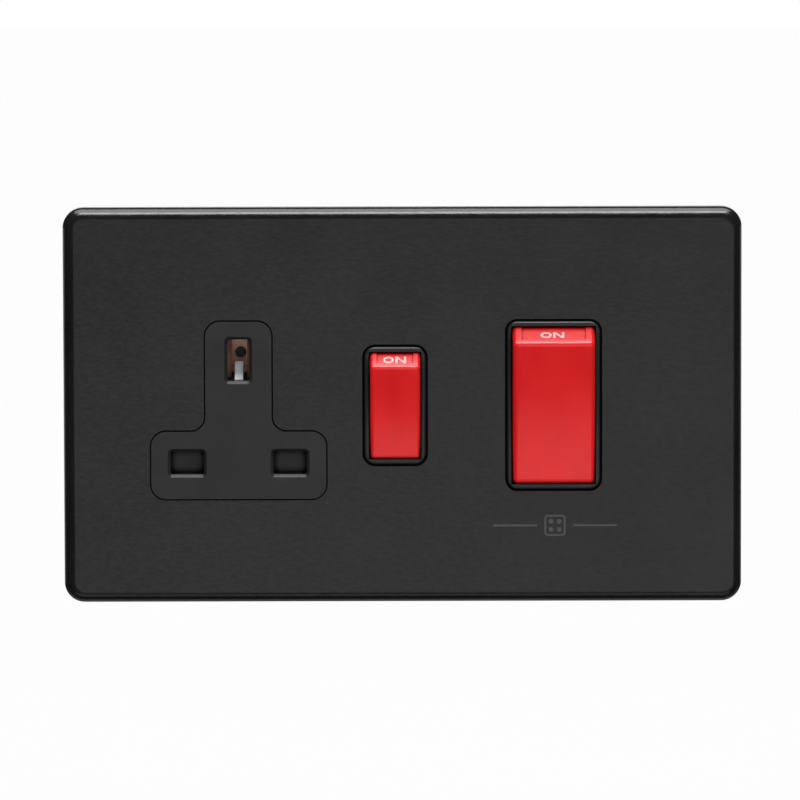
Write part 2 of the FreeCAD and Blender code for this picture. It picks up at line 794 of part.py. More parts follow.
def moving_tip(rocker, name, pole):
    """The silver contact riveted to the arm's upper end."""
    middle = f"{SWITCH_X[rocker]} + ({pole})"
    piece = Piece(name, middle, arm_axis(rocker), "0", f"-{rocker}_arm_swing")
    face = f"{rocker}_tip_thick - {arm_back(rocker)}"
    tip = circle("0", f"{rocker}_tip_place", f"{rocker}_tip_radius")
    piece.add("tip", "XZ", f"-{arm_back(rocker)}", face, tip)
    return piece


def fixed_tips(rocker, name):
    """The silver contacts that the arms close on."""
    piece = Piece(name, SWITCH_X[rocker])
    tips = [circle(pole, f"{rocker}_tip_place", f"{rocker}_tip_radius") for pole in poles(rocker)]
    piece.add("tips", "XZ", fixed_tip_front(rocker), fixed_strip_front(rocker), *tips)
    return piece


def add_bead(piece, rocker, middle):
    """The ridge on a fulcrum strip that carries the contact arm."""
    left, right = beside(middle, f"{rocker}_arm_width / 2")
    neck = f"{rocker}_bead_radius * bead_neck_share"
    piece.add("neck", "YZ", left, right, box(arm_axis(rocker), fulcrum_front(rocker), f"-{neck}", neck))
    piece.add("bead", "YZ", left, right, circle(arm_axis(rocker), "0", f"{rocker}_bead_radius"))


def cooker_fulcrum(name, pole):
    """The brass strip from a supply terminal up to the arm's fulcrum."""
    piece = Piece(name, f"cooker_x + ({pole})")
    half = "cooker_arm_width / 2"
    strip = box(f"-{half}", half, "-terminal_place + seat_gap", "cooker_hub_half")
    rear = f"{fulcrum_front('cooker')} + cooker_strip_thick"
    piece.add("strip", "XZ", fulcrum_front("cooker"), rear, strip)
    add_bead(piece, "cooker", "0")
    return piece


def cooker_fixed_contact(name, pole):
    """The brass strip from the fixed tip up to a load terminal."""
    piece = Piece(name, f"cooker_x + ({pole})")
    half = "cooker_arm_width / 2"
    strip = box(f"-{half}", half, "cooker_tip_place - 2 * cooker_tip_radius", "terminal_place - seat_gap")
    piece.add("strip", "XZ", fixed_strip_front("cooker"), fixed_strip_rear("cooker"), strip)
    return piece


def cooker_terminal(name, pole, end):
    """A brass block with the cable's bore in its outer end and two screws' holes in its rear."""
    outer = "terminal_place + terminal_height"
    piece = Piece(name, f"cooker_x + ({pole})")
    half = "terminal_width / 2"
    low, high = ("terminal_place", outer) if end > 0 else (f"-({outer})", "-terminal_place")
    rear = "terminal_front + terminal_depth"
    piece.add("block", "XZ", "terminal_front", rear, box(f"-{half}", half, low, high))
    blind = f"({outer}) - cable_depth"
    ends = (blind, outer) if end > 0 else (f"-({outer})", f"-({blind})")
    piece.cut("cable_bore", "XY", *ends, circle("0", "cable_y", "cable_radius"))
    holes = [circle("0", place, "terminal_screw_radius + thread_gap") for place in screw_rows(end)]
    piece.cut("screw_holes", "XZ", "cable_y", rear, *holes)
    return piece


def screw_rows(end):
    middle = "(terminal_place + terminal_height / 2)"
    return [f"{end} * ({middle} + {side} * terminal_screw_spacing / 2)" for side in SIDES]


def terminal_screws(name, end):
    """The slotted screws of both blocks at one end, driven from the rear."""
    piece = Piece(name, "cooker_x")
    rear = "terminal_front + terminal_depth"
    places = [(pole, row_place) for pole in poles("cooker") for row_place in screw_rows(end)]
    shanks = [circle(pole, up, "terminal_screw_radius") for pole, up in places]
    heads = [circle(pole, up, "terminal_head_radius") for pole, up in places]
    head_front = f"{rear} + seat_gap"
    head_rear = f"{head_front} + terminal_head_length"
    piece.add("shanks", "XZ", "cable_y + cable_radius + seat_gap", head_front, *shanks)
    piece.add("heads", "XZ", head_front, head_rear, *heads)
    slots = [slot_box(pole, up, "terminal_head_radius") for pole, up in places]
    piece.cut("slots", "XZ", f"{head_rear} - screw_slot_depth", head_rear, *slots)
    return piece


def slot_box(across, up, radius):
    return box(*beside(across, f"{radius} + seat_gap"), *beside(up, "screw_slot_width / 2"))


def cooker_base():
    """The rear moulding of the cooker switch: rooms for the well, the two poles and the terminals."""
    piece = Piece("cooker_base", "cooker_x")
    outline = rounded_box("cooker_base_width", "cooker_base_height", "base_corner")
    piece.add("block", "XZ", BASE_FRONT, "cooker_base_rear", outline)
    well_half = f"({well_width('cooker')} / 2 + room_gap)"
    well_top = f"({well_height('cooker')} / 2 + room_gap)"
    well_room = box(f"-{well_half}", well_half, f"-{well_top}", well_top)
    piece.cut("well_room", "XZ", BASE_FRONT, "cooker_well_depth + room_gap", well_room)
    inner = "partition_half"
    outer = "(cooker_pole_spacing / 2 + terminal_width / 2 + seat_gap)"
    ends = "(terminal_place + terminal_height + seat_gap)"
    starts = "(terminal_place - seat_gap)"
    floor = f"({fixed_strip_rear('cooker')} + seat_gap)"
    rooms = [box(inner, outer, f"-{ends}", ends), box(f"-{outer}", f"-{inner}", f"-{ends}", ends)]
    piece.cut("pole_rooms", "XZ", BASE_FRONT, floor, *rooms)
    driver_width = "2 * (terminal_head_radius + driver_gap)"
    driver_height = f"terminal_screw_spacing + {driver_width}"
    terminal_rooms = []
    driver_slots = []
    entries = []
    seats = []
    for pole in poles("cooker"):
        room_sides = beside(pole, "terminal_width / 2 + seat_gap")
        terminal_rooms.append(box(*room_sides, starts, ends))
        terminal_rooms.append(box(*room_sides, f"-{ends}", f"-{starts}"))
        entries.append(circle(pole, "cable_y", "cable_radius + cable_gap"))
        seats.append(box(*beside(pole, "cooker_arm_width / 2"), f"-{starts}", "cooker_hub_half"))
        for end in SIDES:
            slot_place = (pole, f"{end} * (terminal_place + terminal_height / 2)")
            driver_slots.append(rounded_box(driver_width, driver_height, "terminal_head_radius", *slot_place))
    block_rear = "(terminal_front + terminal_depth)"
    piece.cut("terminal_rooms", "XZ", floor, f"{block_rear} + seat_gap", *terminal_rooms)
    piece.cut("driver_slots", "XZ", block_rear, "cooker_base_rear", *driver_slots)
    half_base = "cooker_base_height / 2"
    piece.cut("top_entries", "XY", f"{ends} - seat_gap", half_base, *entries)
    piece.cut("bottom_entries", "XY", f"-{half_base}", f"-{ends} + seat_gap", *entries)
    seat_front = f"{fulcrum_front('cooker')} + cooker_strip_thick + seat_gap"
    piece.add("fulcrum_seats", "XZ", seat_front, f"{floor} + seat_gap", *seats)
    way_low = "neutral_link_z - link_height / 2 - room_gap"
    way_high = "live_link_z + link_height / 2 + room_gap"
    link_way = box("-cooker_base_width / 2", "partition_half", way_low, way_high)
    piece.cut("link_way", "XZ", BASE_FRONT, f"{link_rear()} + seat_gap", link_way)
    middles = [(f"{side} * cooker_screw_x", f"{end} * cooker_screw_z") for side in SIDES for end in SIDES]
    add_screw_rooms(piece, middles, "cooker_base_rear")
    return piece


def add_screw_rooms(piece, middles, rear):
    """Rooms for the moulding's bosses in front, for the heads behind, and a web between them."""
    fronts = [circle(across, up, "boss_radius + seat_gap") for across, up in middles]
    holes = [circle(across, up, "base_screw_radius + thread_gap") for across, up in middles]
    rears = [circle(across, up, "base_screw_head_radius + seat_gap") for across, up in middles]
    piece.cut("boss_rooms", "XZ", BASE_FRONT, "web_front", *fronts)
    piece.cut("screw_ways", "XZ", "web_front", "web_rear", *holes)
    piece.cut("head_rooms", "XZ", "web_rear", rear, *rears)


def base_screws(name, middles):
    """The screws that hold a base to the front moulding."""
    piece = Piece(name)
    tips = f"{PANEL_REAR} - panel_thick / 2 + seat_gap"
    shanks = [circle(across, up, "base_screw_radius") for across, up in middles]
    heads = [circle(across, up, "base_screw_head_radius") for across, up in middles]
    head_rear = "web_rear + base_screw_head_length"
    piece.add("shanks", "XZ", tips, "web_rear + seat_gap", *shanks)
    piece.add("heads", "XZ", "web_rear", head_rear, *heads)
    slots = [slot_box(across, up, "base_screw_head_radius") for across, up in middles]
    piece.cut("slots", "XZ", f"{head_rear} - screw_slot_depth", head_rear, *slots)
    return piece


def link_front():
    return fulcrum_front("socket")


def link_rear():
    return f"({fulcrum_front('socket')} + socket_strip_thick)"


def link_run(start, pole):
    """A link's run along X, stepped back near its end to lie on a fulcrum strip."""
    step_end, end = beside(f"cooker_x + ({pole})", "cooker_arm_width / 2")
    step_start = f"({step_end} - link_step_length)"
    land_front = f"({fulcrum_front('cooker')} - socket_strip_thick)"
    land_rear = fulcrum_front("cooker")
    return loop(
        [
            (start, link_front()),
            (f"{step_start} + socket_strip_thick", link_front()),
            (step_end, land_front),
            (end, land_front),
            (end, land_rear),
            (f"{step_end} - socket_strip_thick", land_rear),
            (step_start, link_rear()),
            (start, link_rear()),
        ]
    )


def live_link():
    """The strap from the live supply strip to the socket switch, with that switch's fulcrum."""
    piece = Piece("live_link")
    left, right = beside("socket_switch_x", "socket_arm_width / 2")
    low, high = beside("live_link_z", "link_height / 2")
    piece.add("run", "XY", low, high, link_run(left, poles("cooker")[0]))
    piece.add("riser", "XZ", link_front(), link_rear(), box(left, right, low, "socket_hub_half"))
    add_bead(piece, "socket", "socket_switch_x")
    return piece


def neutral_link():
    """The strap from the neutral supply strip to the socket's neutral contact."""
    piece = Piece("neutral_link")
    low, high = beside("neutral_link_z", "link_height / 2")
    start = f"{NEUTRAL_X} - contact_width / 2"
    piece.add("run", "XY", low, high, link_run(start, poles("cooker")[1]))
    return piece


def gripping_u(mouth, web_front, swap, middle):
    """The sprung U that grips a pin: flared at its mouth, closed to a throat, joined by a web."""
    lean = "(contact_grip + contact_thick / 2)"
    web_rear = f"{web_front} + contact_thick"
    throat = f"{mouth} + contact_throat - contact_mouth"
    half = [
        (mouth, "contact_flare"),
        (throat, "contact_grip"),
        (web_front, lean),
    ]
    outer = [
        (web_rear, f"{lean} + contact_thick"),
        (throat, "contact_grip + contact_thick"),
        (mouth, "contact_flare + contact_thick"),
    ]
    inside = half + [(depth, f"-({across})") for depth, across in reversed(half)]
    outside = [(depth, f"-({across})") for depth, across in reversed(outer)] + outer
    points = [(depth, f"{middle} + ({across})") for depth, across in inside + outside]
    if swap:
        points = [(across, depth) for depth, across in points]
    return loop(points)


def live_contact():
    """The live pin's contact and its strip up to the socket switch's fixed tip."""
    piece = Piece("socket_live_contact")
    front = fixed_strip_front("socket")
    rear = fixed_strip_rear("socket")
    grip = gripping_u("contact_mouth", front, False, "pin_row")
    piece.add("grip", "YZ", *beside(LIVE_X, "contact_width / 2"), grip)
    strip_left, strip_right = beside(LIVE_X, "socket_arm_width / 2")
    bottom, top = beside("socket_tip_place", "socket_tip_radius + strip_margin")
    end = "socket_switch_x + socket_arm_width / 2"
    outline = [
        (strip_left, "pin_row - contact_grip"),
        (strip_right, "pin_row - contact_grip"),
        (strip_right, bottom),
        (end, bottom),
        (end, top),
        (strip_left, top),
    ]
    piece.add("strip", "XZ", front, rear, loop(outline))
    return piece


def neutral_contact():
    """The neutral pin's contact, with a tab that lies behind the neutral link."""
    piece = Piece("socket_neutral_contact")
    front = fixed_strip_front("socket")
    left, right = beside(NEUTRAL_X, "contact_width / 2")
    piece.add("grip", "YZ", left, right, gripping_u("contact_mouth", front, False, "pin_row"))
    low = "neutral_link_z - link_height / 2"
    rear = f"{front} + contact_thick"
    piece.add("tab", "XZ", front, rear, box(left, right, low, "pin_row - contact_grip"))
    return piece


def earth_contact():
    """The earth pin's contact, open at the sides, with its strip up to the earth terminal."""
    piece = Piece("socket_earth_contact")
    low, high = beside(EARTH_Z, "earth_blade_height / 2")
    grip = gripping_u("contact_mouth + room_gap", "earth_web", True, "socket_x")
    piece.add("grip", "XY", low, high, grip)
    sides = beside("socket_x", "earth_strip_width / 2")
    rear = "earth_web + contact_thick"
    strip = box(*sides, f"{high} - contact_thick", "terminal_place - seat_gap")
    piece.add("strip", "XZ", "earth_web", rear, strip)
    piece.cut("web_hole", "XZ", "earth_web", rear, circle("socket_x", EARTH_Z, "earth_web_hole"))
    return piece


def earth_terminal():
    """The earth block at the top of the socket, with its cable's bore and its screw's hole."""
    piece = Piece("earth_terminal", "socket_x")
    half = "earth_block_width / 2"
    low = "terminal_place"
    high = "terminal_place + earth_block_height"
    piece.add("block", "XZ", "earth_block_front", "earth_block_rear", box(f"-{half}", half, low, high))
    bore = circle("0", earth_cable_y(), "earth_cable_radius")
    hole = circle("0", earth_screw_z(), "earth_screw_radius + thread_gap")
    piece.cut("cable_bore", "XY", f"{low} + earth_block_wall", high, bore)
    piece.cut("screw_hole", "XZ", earth_cable_y(), "earth_block_rear", hole)
    return piece


def earth_cable_y():
    return "(earth_block_front + earth_cable_radius + earth_block_wall)"


def earth_screw_z():
    return "(terminal_place + earth_block_height / 2)"


def earth_terminal_screw():
    piece = Piece("earth_terminal_screw", "socket_x", "0", earth_screw_z())
    head_front = "(earth_block_rear + seat_gap)"
    head_rear = f"({head_front} + terminal_head_length)"
    start = f"{earth_cable_y()} + earth_cable_radius + seat_gap"
    piece.add("shank", "XZ", start, head_front, circle("0", "0", "earth_screw_radius"))
    piece.add("head", "XZ", head_front, head_rear, circle("0", "0", "terminal_head_radius"))
    slot = slot_box("0", "0", "terminal_head_radius")
    piece.cut("slot", "XZ", f"{head_rear} - screw_slot_depth", head_rear, slot)
    return piece


def socket_base():
    """The rear moulding of the socket: rooms for the shutter, contacts, switch and earth terminal."""
    piece = Piece("socket_base")
    left = "(socket_x - socket_base_reach)"
    width = f"(socket_base_right - {left})"
    middle = f"(socket_base_right + {left}) / 2"
    outline = rounded_box(width, "socket_base_height", "base_corner", middle)
    piece.add("block", "XZ", BASE_FRONT, "socket_base_rear", outline)
    piece.cut("face_room", "XZ", BASE_FRONT, f"{PAD_REAR} + seat_gap", pad_outline("room_gap"))
    cut_shutter_room(piece)
    cut_contact_rooms(piece)
    cut_switch_room(piece)
    cut_earth_rooms(piece)
    places = [(across, f"{end} * socket_screw_z") for across in SOCKET_SCREWS for end in SIDES]
    add_screw_rooms(piece, places, "socket_base_rear")
    return piece


def socket_floor():
    """The rear of the rooms that the socket's contacts lie in."""
    return f"({fixed_strip_rear('socket')} + seat_gap)"


def cut_shutter_room(piece):
    """The room that the shutter slides down in and the cam's way through the floor behind it."""
    room = shutter_outline("room_gap", f"{shutter_low()} - shutter_travel - room_gap")
    piece.cut("shutter_room", "XZ", BASE_FRONT, "shutter_floor", room)
    cam_sides = beside("socket_x", "cam_width / 2 + room_gap")
    cam_way = box(*cam_sides, "cam_foot - shutter_travel - room_gap", EARTH_Z)
    piece.cut("cam_way", "XZ", BASE_FRONT, "cam_depth + swing_gap", cam_way)


def cut_contact_rooms(piece):
    """Rooms round the two gripping contacts, and the ways of the strips that lead from them."""
    floor = socket_floor()
    grip_half = "contact_width / 2 + room_gap"
    grip_reach = "contact_flare + contact_thick + room_gap"
    live_sides = beside(LIVE_X, grip_half)
    neutral_sides = beside(NEUTRAL_X, grip_half)
    rooms = [box(*sides, *beside("pin_row", grip_reach)) for sides in (live_sides, neutral_sides)]
    piece.cut("contact_rooms", "XZ", BASE_FRONT, floor, *rooms)
    strip_left, strip_right = beside(LIVE_X, "socket_arm_width / 2 + room_gap")
    strip_low, strip_high = beside("socket_tip_place", "socket_tip_radius + strip_margin + room_gap")
    live_way = [
        (strip_left, "pin_row"),
        (strip_right, "pin_row"),
        (strip_right, strip_low),
        ("socket_switch_x", strip_low),
        ("socket_switch_x", strip_high),
        (strip_left, strip_high),
    ]
    piece.cut("live_way", "XZ", BASE_FRONT, floor, loop(live_way))
    neutral_low, neutral_high = beside("neutral_link_z", "link_height / 2 + room_gap")
    piece.cut("tab_way", "XZ", BASE_FRONT, floor, box(*neutral_sides, neutral_low, "pin_row"))
    link_way = box(neutral_sides[0], "socket_base_right", neutral_low, neutral_high)
    piece.cut("neutral_link_way", "XZ", BASE_FRONT, f"{link_rear()} + seat_gap", link_way)


def cut_switch_room(piece):
    """Rooms for the socket switch's well and arm, the live link's way in and the seat behind it."""
    well_sides = beside("socket_switch_x", f"{well_width('socket')} / 2 + room_gap")
    well_ends = beside("0", f"{well_height('socket')} / 2 + room_gap")
    piece.cut("well_room", "XZ", BASE_FRONT, "socket_well_depth + room_gap", box(*well_sides, *well_ends))
    arm_sides = beside("socket_switch_x", "socket_arm_width / 2 + swing_gap")
    arm_low, arm_high = beside("0", "socket_arm_reach + swing_gap")
    piece.cut("arm_room", "XZ", BASE_FRONT, socket_floor(), box(*arm_sides, arm_low, arm_high))
    way_rear = f"{link_rear()} + seat_gap"
    riser_left, riser_right = beside("socket_switch_x", "socket_arm_width / 2 + room_gap")
    way_low, way_high = beside("live_link_z", "link_height / 2 + room_gap")
    link_way = box(riser_left, "socket_base_right", way_low, way_high)
    piece.cut("live_link_way", "XZ", BASE_FRONT, way_rear, link_way)
    piece.cut("riser_way", "XZ", BASE_FRONT, way_rear, box(riser_left, riser_right, way_low, "0"))
    seat = box(*beside("socket_switch_x", "socket_arm_width / 2"), f"{arm_low} - seat_gap", "socket_hub_half")
    piece.add("fulcrum_seat", "XZ", way_rear, f"{socket_floor()} + seat_gap", seat)


def cut_earth_rooms(piece):
    """Rooms for the earth contact, its strip and its terminal, with the ways for driver and cable."""
    floor = "(earth_web + contact_thick + seat_gap)"
    grip_sides = beside("socket_x", "contact_flare + contact_thick + room_gap")
    grip_ends = beside(EARTH_Z, "earth_blade_height / 2 + room_gap")
    piece.cut("earth_room", "XZ", BASE_FRONT, floor, box(*grip_sides, *grip_ends))
    strip_sides = beside("socket_x", "earth_strip_width / 2 + room_gap")
    piece.cut("earth_strip_way", "XZ", BASE_FRONT, floor, box(*strip_sides, EARTH_Z, "terminal_place"))
    block_sides = beside("socket_x", "earth_block_width / 2 + seat_gap")
    block_high = "(terminal_place + earth_block_height + seat_gap)"
    block_room = box(*block_sides, "terminal_place - seat_gap", block_high)
    piece.cut("terminal_room", "XZ", BASE_FRONT, "earth_block_rear + seat_gap", block_room)
    driver = circle("socket_x", earth_screw_z(), "terminal_head_radius + driver_gap")
    piece.cut("driver_hole", "XZ", "earth_block_rear", "socket_base_rear", driver)
    entry = circle("socket_x", earth_cable_y(), "earth_cable_radius + cable_gap")
    piece.cut("cable_entry", "XY", f"{block_high} - seat_gap", "socket_base_height / 2", entry)


def shutter_low():
    return "(pin_row - shutter_bar_height / 2)"


def shutter_high():
    return "(pin_row + shutter_bar_height / 2)"


def shutter_outline(grow, low):
    """The shutter's bar with its stem on top, grown outwards; the lower side is given."""
    bar_left, bar_right = beside("socket_x", f"shutter_bar_width / 2 + {grow}")
    stem_left, stem_right = beside("socket_x", f"shutter_stem_width / 2 + {grow}")
    bar_top = f"({shutter_high()} + {grow})"
    stem_top = f"(shutter_stem_top + {grow})"
    return loop(
        [
            (bar_left, low),
            (bar_right, low),
            (bar_right, bar_top),
            (stem_right, bar_top),
            (stem_right, stem_top),
            (stem_left, stem_top),
            (stem_left, bar_top),
            (bar_left, bar_top),
        ]
    )


def shutter():
    """The sliding shutter: a bar that blanks both pin slots and a stem up to the earth slot."""
    piece = Piece("shutter")
    piece.add("slider", "XZ", "shutter_front", "shutter_rear", shutter_outline("0", shutter_low()))

    def meets_pins(edge):
        return lies_at(edge, "Y", "shutter_front") and lies_at(edge, "Z", shutter_high())

    piece.soften("pin_ramps", "shutter_bevel", meets_pins, "Chamfer")
    return piece


def shutter_cam():
    """The ramp in the earth slot that the earth pin pushes down."""
    piece = Piece("shutter_cam", "socket_x")
    outline = loop(
        [
            ("shutter_front", "shutter_stem_top"),
            ("shutter_rear", "shutter_stem_top"),
            ("shutter_rear", "cam_foot"),
            ("cam_depth + cam_crest", "cam_top - cam_thick"),
            ("cam_depth + cam_crest", "cam_top"),
            ("cam_depth", "cam_top"),
            ("shutter_front", "cam_foot + cam_lip"),
        ]
    )
    piece.add("ramp", "YZ", *beside("0", "cam_width / 2"), outline)
    return piece


def fixing_screw(name, side):
    """A raised countersunk screw into the back box; its shank stands out behind."""
    piece = Piece(name, f"{side} * fixing_centres / 2")
    head = "fixing_head_radius"
    front = "fixing_head_front"
    neck = "fixing_neck_radius"
    shank = "fixing_screw_radius"
    crown = f"({head} * {head} + fixing_head_rise * fixing_head_rise) / (2 * fixing_head_rise)"
    outline = loop(
        [
            ("0", f"{front} - fixing_head_rise"),
            (head, front),
            (neck, f"{front} + {head} - {neck}"),
            (neck, "0"),
            (shank, "0"),
            (shank, "fixing_screw_rear"),
            ("0", "fixing_screw_rear"),
        ],
        {0: (crown, True)},
    )
    piece.turned("body", [outline])
    slot = box(*beside("0", head), *beside("0", "screw_slot_width / 2"))
    piece.cut("slot", "XZ", f"{front} - fixing_head_rise", f"{front} + screw_slot_depth / 2", slot)
    return piece


cooker_poles = {"live": poles("cooker")[0], "neutral": poles("cooker")[1]}
screws_per_base = len(boss_places()) // 2
cooker_places = boss_places()[:screws_per_base]
socket_places = boss_places()[screws_per_base:]

pieces = [cover_plate(), front_moulding(), socket_base(), cooker_base()]
pieces += [fixing_screw("left_fixing_screw", -1), fixing_screw("right_fixing_screw", 1)]
pieces += [base_screws("cooker_base_screws", cooker_places), base_screws("socket_base_screws", socket_places)]
pieces += [live_contact(), neutral_contact(), earth_contact(), live_link(), neutral_link()]
pieces += [earth_terminal(), earth_terminal_screw(), shutter(), shutter_cam()]
for pole_name, pole_place in cooker_poles.items():
    pieces.append(cooker_fulcrum(f"cooker_{pole_name}_fulcrum", pole_place))
    pieces.append(cooker_fixed_contact(f"cooker_{pole_name}_fixed_contact", pole_place))
    pieces.append(cooker_terminal(f"{pole_name}_supply_terminal", pole_place, -1))
    pieces.append(cooker_terminal(f"{pole_name}_load_terminal", pole_place, 1))
    pieces.append(plunger("cooker", f"cooker_{pole_name}_plunger", pole_place))
    pieces.append(contact_arm("cooker", f"cooker_{pole_name}_arm", pole_place))
    pieces.append(moving_tip("cooker", f"cooker_{pole_name}_moving_tip", pole_place))
pieces += [terminal_screws("supply_terminal_screws", -1), terminal_screws("load_terminal_screws", 1)]
pieces += [fixed_tips("cooker", "cooker_fixed_tips"), fixed_tips("socket", "socket_fixed_tip")]
pieces += [rocker_body(rocker) for rocker in ROCKERS]
pieces += [plunger("socket", "socket_plunger", "0"), contact_arm("socket", "socket_arm", "0")]
pieces.append(moving_tip("socket", "socket_moving_tip", "0"))
doc.recompute()

faults = [one.Name for one in doc.Objects if "Invalid" in one.State or "Error" in one.State]
if faults:
    raise RuntimeError("failed objects: " + ", ".join(faults))
for piece in pieces:
    for feature in piece.body.Group:
        base = getattr(feature, "BaseFeature", None)
        if base is not None and abs(feature.Shape.Volume - base.Shape.Volume) < SMALLEST_CHANGE:
            raise RuntimeError(f"{feature.Name} changes nothing")
    shape = piece.body.Shape
    if shape.isNull() or not shape.isValid():
        raise RuntimeError(f"{piece.name} has no valid shape")

os.makedirs("parts", exist_ok=True)
for piece in pieces:
    piece.body.Shape.exportStep(os.path.join("parts", piece.name + ".step"))
print(len(pieces), "sub-parts written")
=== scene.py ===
"""Looks of the cooker control unit: materials, printed marks, screw threads, light, floor and camera.

The frame is the CAD frame in metres: +X to the right, +Z up, and the front faces -Y.
"""

import json
import math

import bmesh
import bpy
from mathutils import Matrix, Vector
from mathutils.bvhtree import BVHTree

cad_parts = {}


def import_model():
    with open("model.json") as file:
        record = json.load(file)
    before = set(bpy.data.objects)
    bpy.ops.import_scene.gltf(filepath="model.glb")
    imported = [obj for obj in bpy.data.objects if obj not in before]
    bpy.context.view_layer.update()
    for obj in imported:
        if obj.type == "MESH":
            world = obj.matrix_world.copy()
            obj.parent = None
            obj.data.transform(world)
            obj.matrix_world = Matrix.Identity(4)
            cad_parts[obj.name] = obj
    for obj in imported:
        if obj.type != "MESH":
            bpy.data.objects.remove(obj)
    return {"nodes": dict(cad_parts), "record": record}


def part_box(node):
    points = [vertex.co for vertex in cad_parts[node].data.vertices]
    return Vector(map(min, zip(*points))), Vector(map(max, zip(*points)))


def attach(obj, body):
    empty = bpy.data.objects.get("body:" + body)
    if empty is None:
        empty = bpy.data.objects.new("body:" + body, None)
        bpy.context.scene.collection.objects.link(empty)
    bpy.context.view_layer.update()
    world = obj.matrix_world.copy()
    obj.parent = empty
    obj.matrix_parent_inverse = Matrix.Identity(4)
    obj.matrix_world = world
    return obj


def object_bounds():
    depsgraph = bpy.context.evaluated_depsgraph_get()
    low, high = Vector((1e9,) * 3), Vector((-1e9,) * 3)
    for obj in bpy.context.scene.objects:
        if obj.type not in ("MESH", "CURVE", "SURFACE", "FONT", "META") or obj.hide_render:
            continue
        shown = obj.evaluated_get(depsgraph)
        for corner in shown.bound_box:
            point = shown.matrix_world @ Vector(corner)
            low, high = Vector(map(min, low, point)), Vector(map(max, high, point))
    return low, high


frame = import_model()
cad_low, cad_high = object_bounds()
MM = 0.001
NODES = frame["nodes"]
scene = bpy.context.scene


# Materials

EVEN = (1, 1, 1)
DRAWN = (1, 6, 1)
NOISE_SPREAD = (0.3, 0.7)
MOTTLE_STOPS = (0.35, 0.65)
SOFT_STOPS = (0.3, 0.7)
GREY_TINT = 1.02
INK_UNEVENNESS = 1.12
WHITE_INK_COLOUR = (0.8, 0.42, 0.4)
GREY_INK_COLOUR = (0.05, 0.05, 0.047)


def combined(tree, operation, first, second):
    """One number out of two, by a Math node's operation."""
    node = tree.nodes.new("ShaderNodeMath")
    node.operation = operation
    tree.links.new(first, node.inputs[0])
    tree.links.new(second, node.inputs[1])
    return node.outputs[0]


def ranged(tree, value, source, target=(0, 1)):
    """A number carried from one range to another, and held at its ends."""
    node = tree.nodes.new("ShaderNodeMapRange")
    for name, limit in zip(("From Min", "From Max", "To Min", "To Max"), (*source, *target)):
        node.inputs[name].default_value = limit
    tree.links.new(value, node.inputs["Value"])
    return node.outputs["Result"]


class Look:
    """A procedural material on one Principled shader; fixed numbers go on the shader's sockets."""

    def __init__(self, name, **fixed):
        self.material = bpy.data.materials.new(name)
        self.material.use_nodes = True
        self.tree = self.material.node_tree
        self.shader = self.tree.nodes["Principled BSDF"]
        for socket, amount in fixed.items():
            self.shader.inputs[socket.replace("_", " ")].default_value = amount
        self.place = self.tree.nodes.new("ShaderNodeTexCoord").outputs["Object"]
        self.relief = None

    def noise(self, grain_mm, stretch=EVEN, detail=2):
        """Noise whose grains are about grain_mm across, and longer along an axis by its stretch."""
        mapping = self.tree.nodes.new("ShaderNodeMapping")
        mapping.inputs["Scale"].default_value = [1 / along for along in stretch]
        self.tree.links.new(self.place, mapping.inputs["Vector"])
        texture = self.tree.nodes.new("ShaderNodeTexNoise")
        texture.inputs["Scale"].default_value = 1 / (grain_mm * MM)
        texture.inputs["Detail"].default_value = detail
        self.tree.links.new(mapping.outputs["Vector"], texture.inputs["Vector"])
        return texture.outputs["Fac"]

    def coloured(self, factor, dark, light, stops=MOTTLE_STOPS):
        """A base colour that runs from dark to light between two levels of the noise."""
        node = self.tree.nodes.new("ShaderNodeValToRGB")
        for element, position, colour in zip(node.color_ramp.elements, stops, (dark, light)):
            element.position = position
            element.color = (*colour, 1)
        self.tree.links.new(factor, node.inputs["Fac"])
        self.tree.links.new(node.outputs["Color"], self.shader.inputs["Base Color"])

    def roughened(self, factor, smooth, rough):
        """Roughness that runs between two values over the middle of the noise."""
        spread = ranged(self.tree, factor, NOISE_SPREAD, (smooth, rough))
        self.tree.links.new(spread, self.shader.inputs["Roughness"])

    def bumped(self, factor, depth_mm, strength):
        """One more layer of relief under the shader's normal."""
        node = self.tree.nodes.new("ShaderNodeBump")
        node.inputs["Strength"].default_value = strength
        node.inputs["Distance"].default_value = depth_mm * MM
        self.tree.links.new(factor, node.inputs["Height"])
        if self.relief is not None:
            self.tree.links.new(self.relief, node.inputs["Normal"])
        self.relief = node.outputs["Normal"]
        self.tree.links.new(self.relief, self.shader.inputs["Normal"])

    def painted_shade_in_gaps(self, reach_mm, span, least):
        """Painted shade: colour and gloss fall to a least share where other surfaces close in within
        reach_mm.
        """
        node = self.tree.nodes.new("ShaderNodeAmbientOcclusion")
        node.inputs["Distance"].default_value = reach_mm * MM
        share = ranged(self.tree, node.outputs["AO"], span, (least, 1))
        base = self.shader.inputs["Base Color"]
        scaled = self.tree.nodes.new("ShaderNodeVectorMath")
        scaled.operation = "SCALE"
        self.tree.links.new(base.links[0].from_socket, scaled.inputs[0])
        self.tree.links.new(share, scaled.inputs["Scale"])
        self.tree.links.new(scaled.outputs[0], base)
        gloss = self.shader.inputs["Specular IOR Level"]
        full = gloss.default_value
        self.tree.links.new(ranged(self.tree, share, (0, 1), (0, full)), gloss)


def grey(level):
    """A grey with a trace of blue."""
    return (level, level, level * GREY_TINT)


